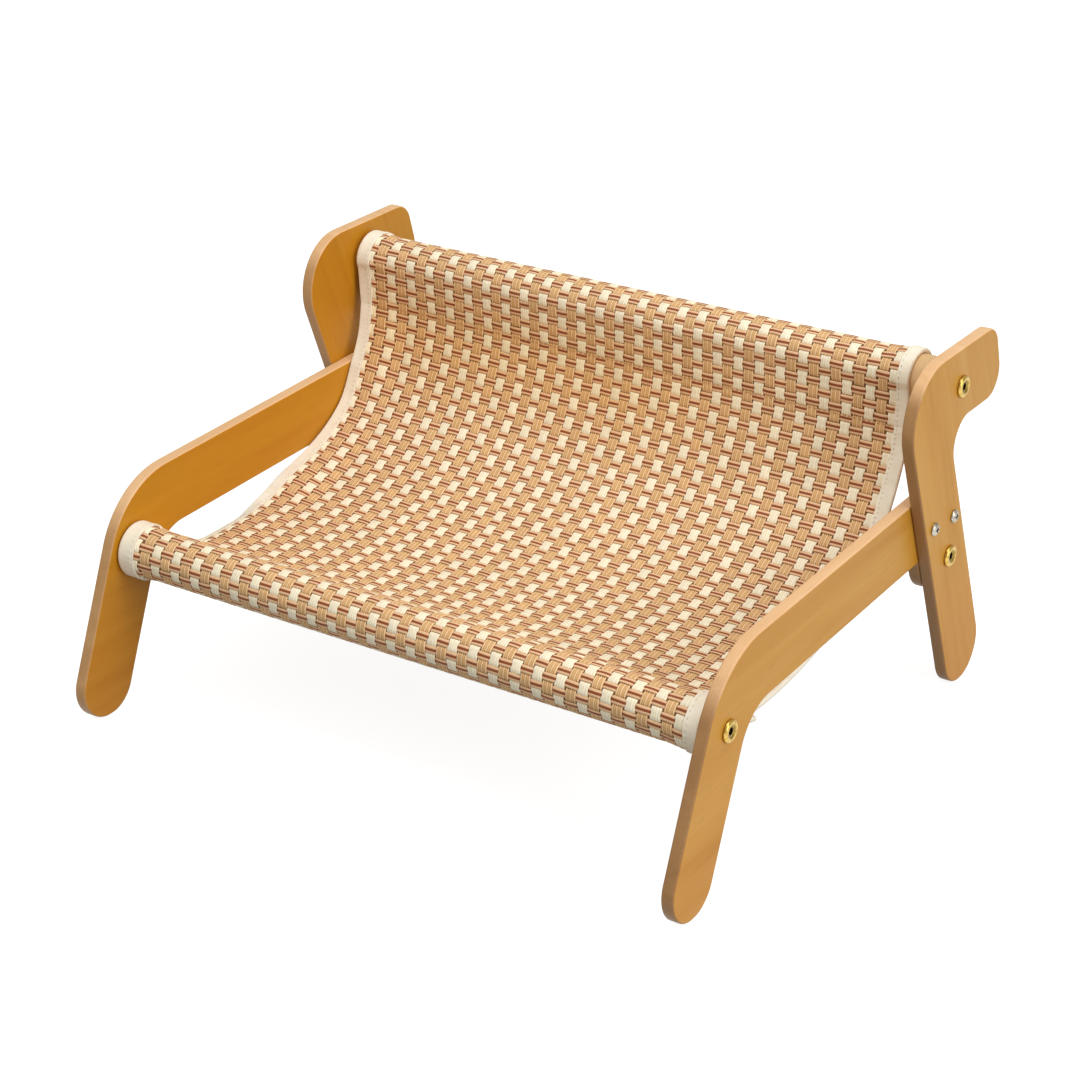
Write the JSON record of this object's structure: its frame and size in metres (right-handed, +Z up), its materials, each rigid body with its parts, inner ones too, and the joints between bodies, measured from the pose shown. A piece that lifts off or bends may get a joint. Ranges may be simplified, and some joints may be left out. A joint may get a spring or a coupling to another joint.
{
  "type": "rattan cat bed",
  "caption": "Low cat lounger: wooden side frames joined by round dowels, with a rattan-look woven sling hung between the front and top dowels.",
  "frame": {"origin": "middle of the overall box on the floor, under the middle of the bed", "axes": "+X across the bed towards its right side seen from the front, +Y from the front dowel to the head, +Z up"},
  "size_m": [0.506, 0.4144, 0.2606],
  "materials": {
    "frame_wood": "satin honey-stained board",
    "dowel_wood": "plain turned dowel",
    "brass_bolt": "polished brass-coloured plating",
    "zinc_insert": "zinc",
    "steel_screw": "bright plating",
    "woven_sheet": "cream, tan and brown rattan-look weave",
    "binding_tape": "cream woven tape"
  },
  "bodies": {
    "root": {"left_arm": "frame_wood", "right_arm": "frame_wood", "left_upright": "frame_wood", "right_upright": "frame_wood", "front_dowel": "dowel_wood", "top_dowel": "dowel_wood", "rear_crossbar": "dowel_wood", "left_front_bolt": "brass_bolt", "left_lower_bolt": "brass_bolt", "left_top_bolt": "brass_bolt", "right_front_bolt": "brass_bolt", "right_lower_bolt": "brass_bolt", "right_top_bolt": "brass_bolt", "left_front_insert": "zinc_insert", "left_lower_insert": "zinc_insert", "left_top_insert": "zinc_insert", "right_front_insert": "zinc_insert", "right_lower_insert": "zinc_insert", "right_top_insert": "zinc_insert", "left_front_screw": "steel_screw", "left_rear_screw": "steel_screw", "right_front_screw": "steel_screw", "right_rear_screw": "steel_screw", "sling": "woven_sheet", "left_edge_binding": "binding_tape", "right_edge_binding": "binding_tape"}
  },
  "joints": []
}
